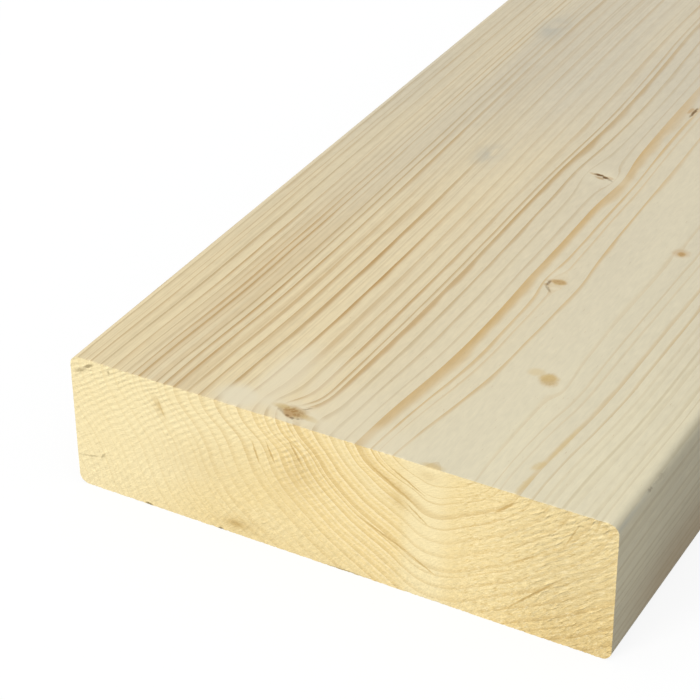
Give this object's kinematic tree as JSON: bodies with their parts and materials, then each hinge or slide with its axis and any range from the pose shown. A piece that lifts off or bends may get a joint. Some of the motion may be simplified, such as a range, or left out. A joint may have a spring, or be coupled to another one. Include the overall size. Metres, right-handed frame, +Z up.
{
  "type": "timber lumber plank",
  "caption": "Straight planed softwood plank of rectangular section, with rounded long arrises and square sawn ends.",
  "frame": {"origin": "centre of the underside, on the surface that the plank lies on", "axes": "+Y along the length of the plank, +X across its width, +Z up through its thickness"},
  "size_m": [0.169, 2.4, 0.044],
  "materials": {
    "planed_spruce": "planed, unfinished, matt"
  },
  "bodies": {
    "root": {"plank": "planed_spruce"}
  },
  "joints": []
}
